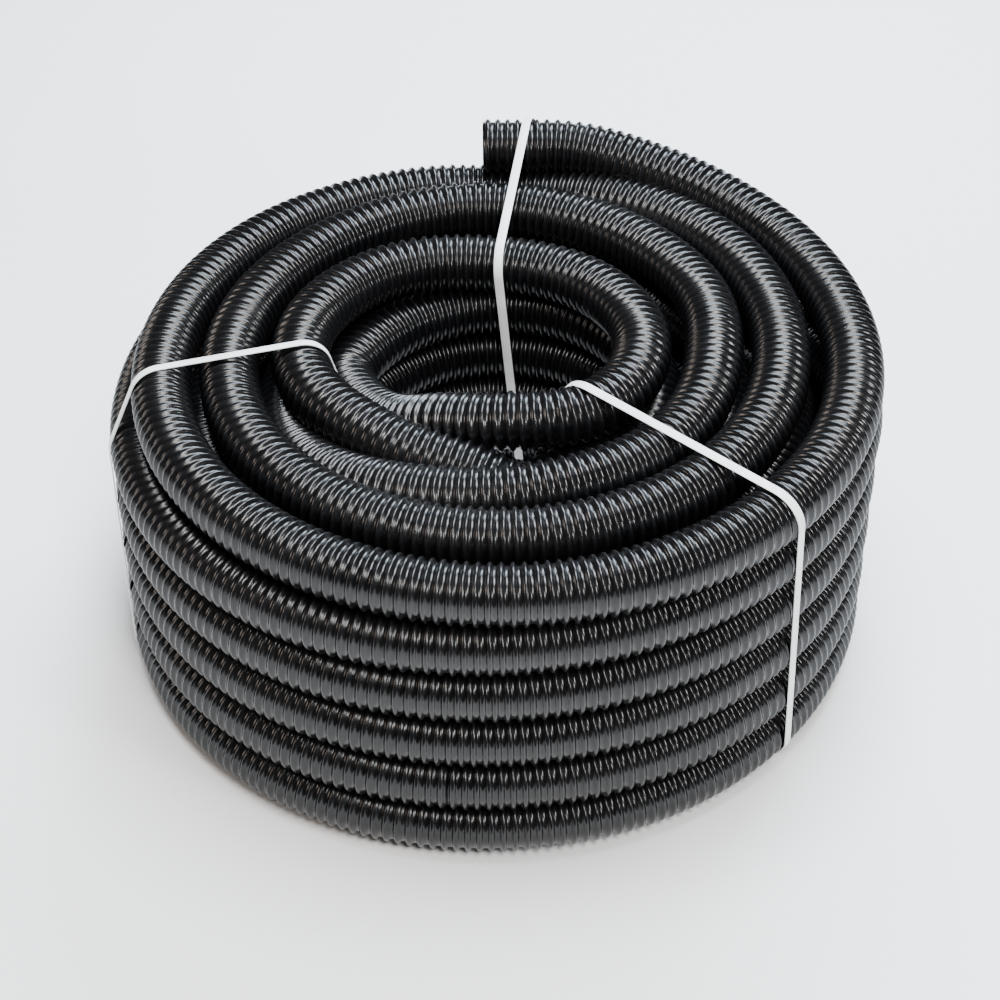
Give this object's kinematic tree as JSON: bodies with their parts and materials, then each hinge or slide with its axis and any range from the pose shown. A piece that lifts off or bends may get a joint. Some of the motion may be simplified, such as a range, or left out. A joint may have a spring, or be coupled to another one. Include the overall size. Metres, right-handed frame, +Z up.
{
  "type": "vacuum hose",
  "caption": "Roll of ribbed black vacuum hose for pools and spas, wound in layers and tied with flat white bands.",
  "frame": {"origin": "under the middle of the roll, on the surface it rests on", "axes": "+Z up along the roll's axis, +Y towards the side where the hose's two cut ends lie"},
  "size_m": [0.5855, 0.5861, 0.2894],
  "materials": {
    "hose": "glossy black ribbed plastic",
    "tie": "smooth white plastic band"
  },
  "bodies": {
    "root": {"hose_coil": "hose", "hose_top_turn": "hose", "hose_top_lead": "hose", "hose_top_end": "hose", "hose_bottom_turn": "hose", "hose_bottom_end": "hose", "rear_tie": "tie", "left_tie": "tie", "front_tie": "tie"}
  },
  "joints": []
}
